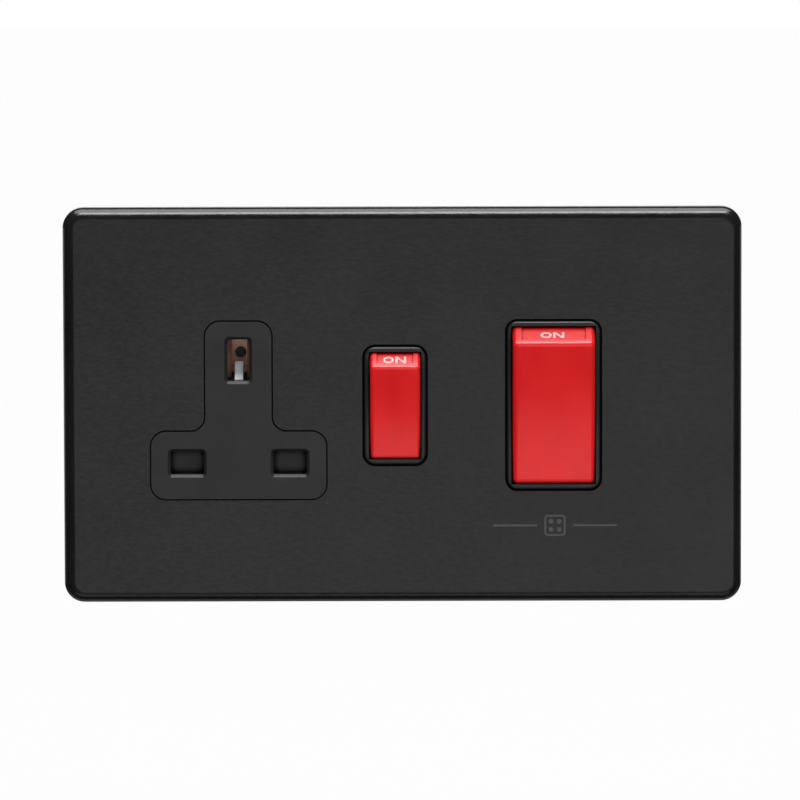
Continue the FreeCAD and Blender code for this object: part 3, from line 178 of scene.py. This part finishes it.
def powder_coat():
    """Matt black powder coat: fine orange peel in short level dashes over a broader ripple."""
    look = Look("powder_coat", Specular_IOR_Level=0.5)
    peel = look.noise(grain_mm=0.55, stretch=(2.6, 1, 1), detail=3)
    ripple = look.noise(grain_mm=2.4, stretch=(1.6, 1, 1), detail=1)
    look.coloured(look.noise(grain_mm=18, detail=3), dark=grey(0.0048), light=grey(0.0068))
    look.roughened(peel, smooth=0.17, rough=0.27)
    look.bumped(ripple, depth_mm=0.04, strength=0.25)
    look.bumped(peel, depth_mm=0.022, strength=0.5)
    # Painted shade where other parts close in on the plate.
    look.painted_shade_in_gaps(reach_mm=1.0, span=(0.4, 0.8), least=0.1)
    return look.material


def black_moulding():
    """Matt black moulded plastic with a fine spark-eroded grain."""
    look = Look("black_moulding", Specular_IOR_Level=0.4)
    grain = look.noise(grain_mm=0.22, detail=3)
    look.coloured(look.noise(grain_mm=9), dark=grey(0.0135), light=grey(0.017))
    look.roughened(grain, smooth=0.3, rough=0.42)
    look.bumped(grain, depth_mm=0.012, strength=0.5)
    # Painted shade in the gaps and recesses of the moulding.
    look.painted_shade_in_gaps(reach_mm=1.6, span=(0.45, 0.97), least=0.1)
    return look.material


def red_moulding():
    """Glossy red moulded plastic with faint flow marks and a little orange peel."""
    look = Look("red_moulding", Specular_IOR_Level=0.5)
    flow = look.noise(grain_mm=7, stretch=(1, 1, 3), detail=3)
    peel = look.noise(grain_mm=1.1, detail=1)
    look.coloured(flow, dark=(0.6, 0.009, 0.011), light=(0.68, 0.011, 0.013), stops=SOFT_STOPS)
    look.roughened(flow, smooth=0.16, rough=0.23)
    look.bumped(peel, depth_mm=0.01, strength=0.35)
    # Painted shade on the rockers where they meet the bezel walls and gaps.
    look.painted_shade_in_gaps(reach_mm=2.2, span=(0.6, 0.97), least=0.12)
    return look.material


def grey_moulding():
    """Dark grey glass-filled plastic of the bases: mottled, with a coarser grain."""
    look = Look("grey_moulding", Specular_IOR_Level=0.4)
    grain = look.noise(grain_mm=0.3, detail=4)
    mottle = look.noise(grain_mm=2.2, stretch=(1, 1, 2), detail=5)
    look.coloured(mottle, dark=grey(0.075), light=grey(0.105))
    look.roughened(grain, smooth=0.45, rough=0.6)
    look.bumped(grain, depth_mm=0.02, strength=0.5)
    return look.material


def white_moulding():
    """Satin white nylon with a slightly milky body."""
    look = Look("white_moulding", Specular_IOR_Level=0.45, Subsurface_Weight=0.1, Subsurface_Scale=0.4 * MM)
    grain = look.noise(grain_mm=0.5)
    look.coloured(look.noise(grain_mm=3), dark=(0.68, 0.67, 0.74), light=(0.78, 0.77, 0.82))
    look.roughened(grain, smooth=0.32, rough=0.45)
    look.bumped(grain, depth_mm=0.008, strength=0.4)
    return look.material


def metal(name, dark, light, smooth, rough, drawn=EVEN, bare=1.0):
    """Stamped or turned metal: fine marks over soft tarnish; what isn't bare of it is dull."""
    look = Look(name, Metallic=bare)
    marks = look.noise(grain_mm=0.09, stretch=drawn)
    look.coloured(look.noise(grain_mm=1.6, detail=4), dark, light, stops=SOFT_STOPS)
    look.roughened(marks, smooth, rough)
    look.bumped(marks, depth_mm=0.006, strength=0.4)
    return look.material


def drawn_brass():
    """Brass strip with long fine marks."""
    dark, light = (0.55, 0.36, 0.14), (0.72, 0.5, 0.22)
    return metal("drawn_brass", dark, light, smooth=0.24, rough=0.42, drawn=DRAWN)


def drawn_copper():
    """Copper under a thin dull skin, as it is some time after the press."""
    dark, light = (0.72, 0.38, 0.25), (0.96, 0.62, 0.45)
    return metal("drawn_copper", dark, light, smooth=0.26, rough=0.44, drawn=DRAWN, bare=0.6)


def zinc_steel():
    """Steel under bright zinc."""
    dark, light = (0.5, 0.5, 0.51), (0.66, 0.66, 0.67)
    return metal("zinc_steel", dark, light, smooth=0.22, rough=0.4)


def contact_silver():
    """The pale silver of the contact tips."""
    dark, light = (0.66, 0.66, 0.65), (0.8, 0.8, 0.79)
    return metal("contact_silver", dark, light, smooth=0.18, rough=0.34)


def print_ink(name, colour):
    """Flat printed ink with a slightly uneven body."""
    look = Look(name, Specular_IOR_Level=0.35)
    spots = look.noise(grain_mm=0.35, detail=3)
    look.coloured(spots, dark=colour, light=[min(1, part * INK_UNEVENNESS) for part in colour])
    look.roughened(spots, smooth=0.42, rough=0.55)
    return look.material


def wear(obj, material):
    """Give an object one material only."""
    obj.data.materials.clear()
    obj.data.materials.append(material)


MATERIALS = {
    "black_steel": powder_coat(),
    "black_plastic": black_moulding(),
    "red_plastic": red_moulding(),
    "grey_plastic": grey_moulding(),
    "white_plastic": white_moulding(),
    "brass": drawn_brass(),
    "copper": drawn_copper(),
    "zinc_steel": zinc_steel(),
    "silver": contact_silver(),
}
SLOTS = {row["node"]: row["material_slot"] for row in frame["record"]["subparts"]}

for name, node in NODES.items():
    wear(node, MATERIALS[SLOTS[name]])


# Printed marks

INK_LIFT = 0.03 * MM
INK_THICK = 0.02 * MM
INK_STEP = 0.35 * MM
LEAST_CORNER = 0.01 * MM
# A side that is over by less than this share of INK_STEP isn't split, and a doubled point drops out
STEP_MARGIN = 0.01
CORNER_STEPS = 8

# Shares of the word's width, of the letter's half size and of the stroke
LETTER_WIDTH = 0.47
LETTER_ROUNDNESS = 0.98
DIAGONAL_CORNER = 1.15

# Shares of the sign's size
HOB_CORNER = 0.12
PLATE_SPACING = 0.19
PLATE_RADIUS = 0.115
RULE_START = 0.85

ON_HEIGHT = 2.2 * MM
ON_STROKE = 0.5 * MM
COOKER_ON_WIDTH = 5.1 * MM
COOKER_ON_SHIFT = -0.3 * MM
COOKER_ON_UP = 15.35 * MM
COOKER_ON_SQUEEZE = 0.48
SOCKET_ON_WIDTH = 5.0 * MM
SOCKET_ON_SHIFT = -0.1 * MM
SOCKET_ON_UP = 10.0 * MM
SOCKET_ON_SQUEEZE = 0.56
HOB_SIZE = 4.6 * MM
HOB_REACH = 13.4 * MM
HOB_STROKE = 0.42 * MM
HOB_SHIFT = 0.3 * MM
HOB_UP = -26.1 * MM


def ring(across, up, half_width, half_height, corner):
    """A closed rounded outline as a list of points."""
    points = []
    turns = ((1, 1, 0), (-1, 1, 90), (-1, -1, 180), (1, -1, 270))
    for side, rise, start in turns:
        for step in range(CORNER_STEPS + 1):
            angle = math.radians(start + 90 * step / CORNER_STEPS)
            points.append(
                (
                    across + side * (half_width - corner) + corner * math.cos(angle),
                    up + rise * (half_height - corner) + corner * math.sin(angle),
                )
            )
    return points


def band(across, up, half_width, half_height, corner, stroke):
    """The outer and the inner outline of a rounded ring; the sizes are to the middle of its stroke."""
    half = stroke / 2
    outer = ring(across, up, half_width + half, half_height + half, corner + half)
    inner = ring(across, up, half_width - half, half_height - half, max(corner - half, LEAST_CORNER))
    return [outer, inner]


def finer(points):
    """The same closed outline with no side longer than INK_STEP."""
    fine = []
    for start, end in zip(points, points[1:] + points[:1]):
        start, end = Vector(start), Vector(end)
        steps = math.ceil((end - start).length / INK_STEP - STEP_MARGIN)
        fine += [start.lerp(end, step / steps) for step in range(steps)]
    return fine


def printed(name, areas, middle, squeeze, onto, body, material):
    """Ink laid on a CAD node's front.

    Each area is one outline, or an outer and an inner one, round its own zero. Its height is squeezed
    to what the front view shows, and each point is carried back along Y to the node's surface.
    """
    ground = BVHTree.FromObject(NODES[onto], bpy.context.evaluated_depsgraph_get())
    mesh = bmesh.new()
    for outlines in areas:
        sides = []
        for outline in outlines:
            loop = []
            for spot in finer(outline):
                start = Vector((middle[0] + spot.x, cad_low.y - MM, middle[1] + spot.y * squeeze))
                hit, normal = ground.ray_cast(start, Vector((0, 1, 0)))[:2]
                loop.append(mesh.verts.new(hit + normal * INK_LIFT))
            pairs = zip(loop, loop[1:] + loop[:1])
            sides += [mesh.edges.new(pair) for pair in pairs]
        bmesh.ops.triangle_fill(mesh, edges=sides, use_beauty=True)
    turned = [face for face in mesh.faces if face.normal.y > 0]
    bmesh.ops.reverse_faces(mesh, faces=turned)
    data = bpy.data.meshes.new(name)
    mesh.to_mesh(data)
    mesh.free()
    obj = bpy.data.objects.new(name, data)
    scene.collection.objects.link(obj)
    thick = obj.modifiers.new("thickness", "SOLIDIFY")
    thick.thickness = INK_THICK
    thick.offset = -1
    wear(obj, material)
    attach(obj, body)


def word_on(width):
    """The outlines of a wide ON round its own middle."""
    letter = width * LETTER_WIDTH
    half = (letter - ON_STROKE) / 2
    tall = (ON_HEIGHT - ON_STROKE) / 2
    corner = min(half, tall) * LETTER_ROUNDNESS
    round_letter = band((letter - width) / 2, 0, half, tall, corner, ON_STROKE)
    left, right = width / 2 - letter, width / 2
    low, high = -ON_HEIGHT / 2, ON_HEIGHT / 2
    foot = ON_STROKE * DIAGONAL_CORNER
    rise = ON_HEIGHT * ON_STROKE / (letter - foot)
    straight_letter = [
        (left, low),
        (left, high),
        (left + foot, high),
        (right - ON_STROKE, low + rise),
        (right - ON_STROKE, high),
        (right, high),
        (right, low),
        (right - foot, low),
        (left + ON_STROKE, high - rise),
        (left + ON_STROKE, low),
    ]
    return [round_letter, [straight_letter]]


def bar(left, right, stroke):
    """The outline of a level rule."""
    half = stroke / 2
    return [[(left, -half), (right, -half), (right, half), (left, half)]]


def hob_mark():
    """A hob seen from above, four plates in a rounded square, between two level rules."""
    half = (HOB_SIZE - HOB_STROKE) / 2
    areas = [band(0, 0, half, half, HOB_SIZE * HOB_CORNER, HOB_STROKE)]
    apart = HOB_SIZE * PLATE_SPACING
    radius = HOB_SIZE * PLATE_RADIUS
    for side in (-1, 1):
        for rise in (-1, 1):
            areas.append([ring(side * apart, rise * apart, radius, radius, radius)])
    for side in (-1, 1):
        ends = sorted((side * HOB_SIZE * RULE_START, side * HOB_REACH))
        areas.append(bar(*ends, HOB_STROKE))
    return areas


WHITE_INK = print_ink("white_ink", WHITE_INK_COLOUR)
GREY_INK = print_ink("grey_ink", GREY_INK_COLOUR)
cooker_low, cooker_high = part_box("cooker_rocker")
socket_low, socket_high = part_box("socket_rocker")
cooker_x = (cooker_low.x + cooker_high.x) / 2
socket_x = (socket_low.x + socket_high.x) / 2
printed(
    "cooker_rocker_on",
    word_on(COOKER_ON_WIDTH),
    middle=(cooker_x + COOKER_ON_SHIFT, COOKER_ON_UP),
    squeeze=COOKER_ON_SQUEEZE,
    onto="cooker_rocker",
    body="cooker_rocker",
    material=WHITE_INK,
)
printed(
    "socket_rocker_on",
    word_on(SOCKET_ON_WIDTH),
    middle=(socket_x + SOCKET_ON_SHIFT, SOCKET_ON_UP),
    squeeze=SOCKET_ON_SQUEEZE,
    onto="socket_rocker",
    body="socket_rocker",
    material=WHITE_INK,
)
printed(
    "hob_symbol",
    hob_mark(),
    middle=(cooker_x + HOB_SHIFT, HOB_UP),
    squeeze=1,
    onto="cover_plate",
    body="unit",
    material=GREY_INK,
)


# Threads of the fixing screws

THREAD_PITCH = 0.6 * MM
THREAD_RISE = 0.16 * MM
THREAD_ROOT = 0.05 * MM
THREAD_HALF = 0.22 * MM
SHANK_RADIUS = 1.75 * MM
TURN_STEPS = 20
HEAD_LENGTH = 5.0 * MM
TIP_LENGTH = 0.6 * MM


def thread(side):
    """A ridge wound round one fixing screw's shank, which runs out at both ends."""
    low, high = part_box(f"{side}_fixing_screw")
    across, up = (low.x + high.x) / 2, (low.z + high.z) / 2
    start, end = low.y + HEAD_LENGTH, high.y - TIP_LENGTH
    steps = math.floor((end - start) / THREAD_PITCH * TURN_STEPS)
    mesh = bmesh.new()
    rows = []
    for step in range(steps + 1):
        angle = 2 * math.pi * step / TURN_STEPS
        along = start + THREAD_PITCH * step / TURN_STEPS
        fade = min(1, step / TURN_STEPS, (steps - step) / TURN_STEPS)
        corners = (
            (SHANK_RADIUS - THREAD_ROOT, -THREAD_HALF),
            (SHANK_RADIUS + THREAD_RISE * fade, 0),
            (SHANK_RADIUS - THREAD_ROOT, THREAD_HALF),
        )
        row = []
        for radius, shift in corners:
            side_step, rise = radius * math.cos(angle), radius * math.sin(angle)
            row.append(mesh.verts.new((across + side_step, along + shift, up + rise)))
        rows.append(row)
    for here, after in zip(rows, rows[1:]):
        for first, second in ((0, 1), (1, 2), (2, 0)):
            mesh.faces.new((here[first], here[second], after[second], after[first]))
    mesh.faces.new(rows[0])
    mesh.faces.new(reversed(rows[-1]))
    bmesh.ops.recalc_face_normals(mesh, faces=mesh.faces)
    data = bpy.data.meshes.new(f"{side}_fixing_thread")
    mesh.to_mesh(data)
    mesh.free()
    obj = bpy.data.objects.new(data.name, data)
    scene.collection.objects.link(obj)
    wear(obj, MATERIALS["zinc_steel"])
    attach(obj, "unit")


for side in ("left", "right"):
    thread(side)


# Floor, light and camera

FLOOR_DROP = 1.2
FLOOR_FRONT = 0.2
FLOOR_REACH = 40
FLOOR_GLOW = 0.94
NEAR_GLOW = 0.55
FLOOR_FADE = (1.5, 4.5)
MIRRORED_FADE = (4.5, 13)
FLOOR_MOTTLE_MM = 400
FLOOR_STOPS = (0.4, 0.6)
FLOOR_DARK = (0.79, 0.79, 0.79)
FLOOR_LIGHT = (0.81, 0.81, 0.81)
BACKDROP_WIDTH = (0.9, 0.98)
WORLD_LEVEL = 0.05
WHITE = (1, 1, 1, 1)
CAMERA_DISTANCE = 1.5
CAMERA_ELEVATION = math.radians(5)
CAMERA_ROLL = math.radians(-0.14)
PHOTO_SIDE = 800
PLATE_MIDDLE = (402.5, 405.4)
PIXELS_PER_MM = 4.634
SENSOR = 36


def in_reflections(tree, path):
    """One for a ray that comes off gloss or through glass, from a Light Path node's outputs."""
    return combined(tree, "MAXIMUM", path["Is Glossy Ray"], path["Is Transmission Ray"])


def floor():
    """A pale floor under and behind the object; it keeps the shadow and shows white farther back."""
    level = cad_low.z - FLOOR_DROP
    corners = [
        (-FLOOR_REACH, FLOOR_FRONT, level),
        (FLOOR_REACH, FLOOR_FRONT, level),
        (FLOOR_REACH, FLOOR_REACH, level),
        (-FLOOR_REACH, FLOOR_REACH, level),
    ]
    data = bpy.data.meshes.new("floor")
    data.from_pydata(corners, [], [range(len(corners))])
    obj = bpy.data.objects.new("floor", data)
    scene.collection.objects.link(obj)
    look = Look("pale_floor", Roughness=0.9, Specular_IOR_Level=0.1)
    look.coloured(look.noise(FLOOR_MOTTLE_MM), FLOOR_DARK, FLOOR_LIGHT, FLOOR_STOPS)
    tree = look.tree
    path = tree.nodes.new("ShaderNodeLightPath").outputs
    spot = tree.nodes.new("ShaderNodeSeparateXYZ")
    tree.links.new(look.place, spot.inputs["Vector"])
    shown = ranged(tree, spot.outputs["Y"], FLOOR_FADE, (NEAR_GLOW, FLOOR_GLOW))
    reflected = ranged(tree, spot.outputs["Y"], MIRRORED_FADE, (0, FLOOR_GLOW))
    glow = tree.nodes.new("ShaderNodeEmission")
    strength = combined(
        tree,
        "MAXIMUM",
        combined(tree, "MULTIPLY", path["Is Camera Ray"], shown),
        combined(tree, "MULTIPLY", in_reflections(tree, path), reflected),
    )
    tree.links.new(strength, glow.inputs["Strength"])
    both = tree.nodes.new("ShaderNodeAddShader")
    tree.links.new(look.shader.outputs["BSDF"], both.inputs[0])
    tree.links.new(glow.outputs["Emission"], both.inputs[1])
    tree.links.new(both.outputs["Shader"], tree.nodes["Material Output"].inputs["Surface"])
    wear(obj, look.material)


def world():
    """A dim studio; the background is white to the camera, and its middle to reflections too."""
    sky = bpy.data.worlds.new("studio")
    scene.world = sky
    sky.use_nodes = True
    tree = sky.node_tree
    way = tree.nodes.new("ShaderNodeSeparateXYZ")
    tree.links.new(tree.nodes.new("ShaderNodeTexCoord").outputs["Generated"], way.inputs["Vector"])
    backdrop = ranged(tree, way.outputs["Y"], BACKDROP_WIDTH)
    path = tree.nodes.new("ShaderNodeLightPath").outputs
    reflected = combined(tree, "MULTIPLY", in_reflections(tree, path), backdrop)
    seen = combined(tree, "MAXIMUM", path["Is Camera Ray"], reflected)
    background = tree.nodes["Background"]
    background.inputs["Color"].default_value = WHITE
    tree.links.new(ranged(tree, seen, (0, 1), (WORLD_LEVEL, 1)), background.inputs["Strength"])


def lamp(name, place, size, watts, on_matt=True, on_gloss=True):
    """A soft rectangular lamp that faces the object's middle, and can be kept off matt or gloss."""
    data = bpy.data.lights.new(name, "AREA")
    data.shape = "RECTANGLE"
    data.size, data.size_y = size
    data.energy = watts
    obj = bpy.data.objects.new(name, data)
    obj.location = place
    obj.rotation_euler = (-Vector(place)).to_track_quat("-Z", "Y").to_euler()
    obj.visible_diffuse = on_matt
    obj.visible_glossy = on_gloss
    scene.collection.objects.link(obj)


def camera():
    """The photograph's view: a long lens, a little above the middle, shifted to the plate's place."""
    plate_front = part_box("cover_plate")[0].y
    back = Vector((0, -math.cos(CAMERA_ELEVATION), math.sin(CAMERA_ELEVATION)))
    data = bpy.data.cameras.new("camera")
    data.sensor_width = SENSOR
    data.lens = PIXELS_PER_MM * CAMERA_DISTANCE / MM * SENSOR / PHOTO_SIDE
    data.shift_x = (PHOTO_SIDE / 2 - PLATE_MIDDLE[0]) / PHOTO_SIDE
    data.shift_y = (PLATE_MIDDLE[1] - PHOTO_SIDE / 2) / PHOTO_SIDE
    obj = bpy.data.objects.new("camera", data)
    obj.location = Vector((0, plate_front, 0)) + back * CAMERA_DISTANCE
    aim = (-back).to_track_quat("-Z", "Y").to_matrix().to_4x4()
    obj.rotation_euler = (aim @ Matrix.Rotation(CAMERA_ROLL, 4, "Z")).to_euler()
    scene.collection.objects.link(obj)
    scene.camera = obj


floor()
world()
lamp("key", place=(0.05, -0.52, 0.97), size=(0.85, 0.4), watts=13)
lamp("overhead", place=(0, 0.05, 1.0), size=(1.2, 0.7), watts=12, on_matt=False)
lamp("front", place=(0.42, -1.9, -0.4), size=(1.5, 0.8), watts=2.95)
lamp("table", place=(0, -1.04, -1.08), size=(1.6, 0.5), watts=1.5)
lamp("fill", place=(0.3, -1.6, 0.25), size=(1.6, 1.0), watts=18.5, on_gloss=False)
lamp("back", place=(-0.6, 1.4, 0.6), size=(1.6, 1.0), watts=16, on_gloss=False)
camera()
scene.view_settings.view_transform = "Standard"
